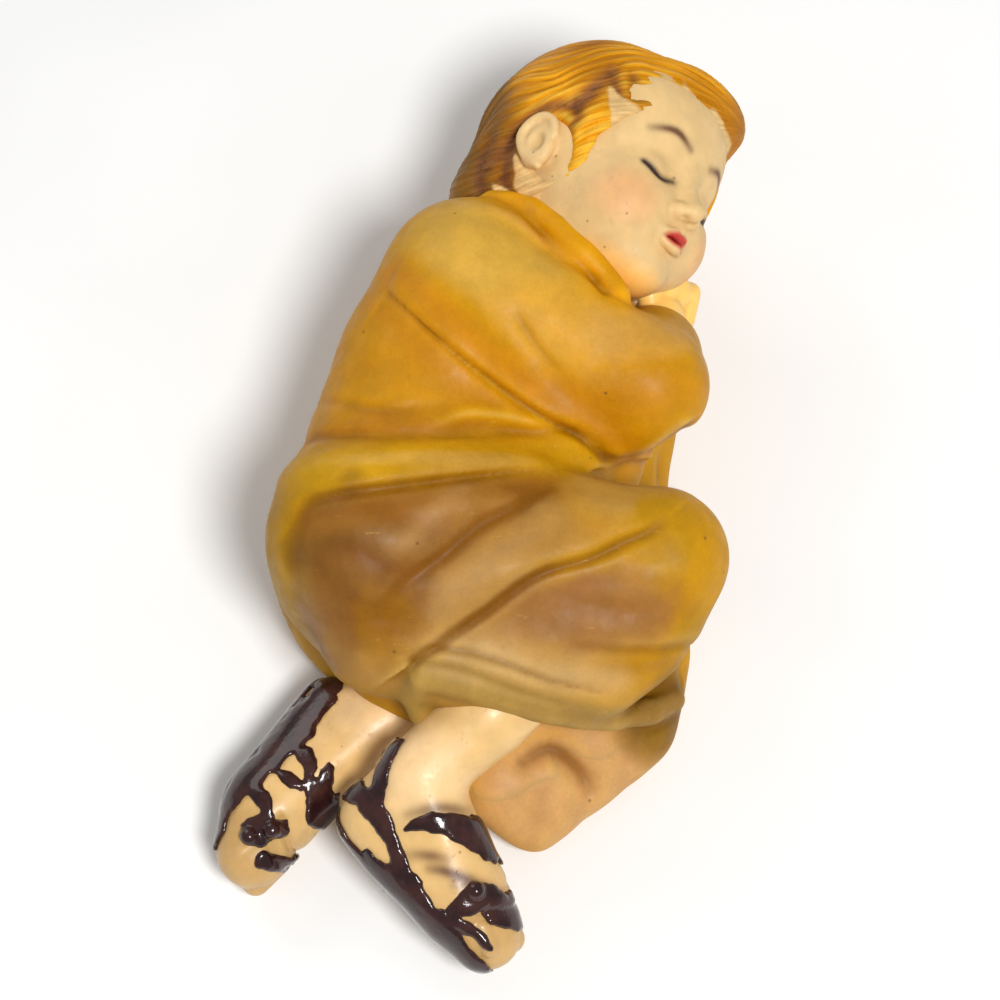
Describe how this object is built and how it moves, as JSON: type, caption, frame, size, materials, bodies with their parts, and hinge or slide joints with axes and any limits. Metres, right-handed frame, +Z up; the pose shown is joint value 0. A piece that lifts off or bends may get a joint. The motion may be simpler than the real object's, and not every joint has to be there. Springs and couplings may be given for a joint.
{
  "type": "aquarium bubbling ornament",
  "caption": "Hollow cast figure of a sleeping child on its side in tunic and sandals, with an airline socket in the back and a bubble port in the fold of the lap.",
  "frame": {"origin": "middle of the figure's plan, on the surface that its rubber pads stand on", "axes": "+X from the feet to the crown of the head, -Y out of the front where the face and knees are, +Z up"},
  "size_m": [0.1186, 0.0678, 0.0415],
  "materials": {
    "tunic_paint": "translucent ochre varnish over cast resin, yellow in the folds and brown over the hip",
    "skin_paint": "cream flesh paint with pink blush, satin",
    "hair_paint": "golden ochre with a brown wash in the grooves, satin",
    "sandal_paint": "glossy dark brown, flaked in places",
    "hatch_resin": "dark moulded plate, matt",
    "rubber": "black, matt",
    "screw_steel": "stainless, turned",
    "ballast_iron": "as cast",
    "fitting_plastic": "dark brown moulded plastic, satin",
    "barb_plastic": "natural moulded plastic",
    "airline_silicone": "clear silicone, satin",
    "stone": "sintered blue-grey grit, matt"
  },
  "bodies": {
    "root": {"tunic_upper_shell": "tunic_paint", "tunic_lower_shell": "tunic_paint", "head": "skin_paint", "hair": "hair_paint", "right_hand": "skin_paint", "left_hand": "skin_paint", "right_leg": "skin_paint", "left_leg": "skin_paint", "right_sandal": "sandal_paint", "left_sandal": "sandal_paint", "hatch_plate": "hatch_resin", "hatch_seal": "rubber", "hatch_screw_1": "screw_steel", "hatch_screw_2": "screw_steel", "rubber_pad_1": "rubber", "rubber_pad_2": "rubber", "rubber_pad_3": "rubber", "rubber_pad_4": "rubber", "ballast_slug": "ballast_iron", "airline_socket": "fitting_plastic", "inlet_barb": "barb_plastic", "inner_airline": "airline_silicone", "stone_holder": "fitting_plastic", "air_stone": "stone", "bubble_port": "fitting_plastic"}
  },
  "joints": []
}
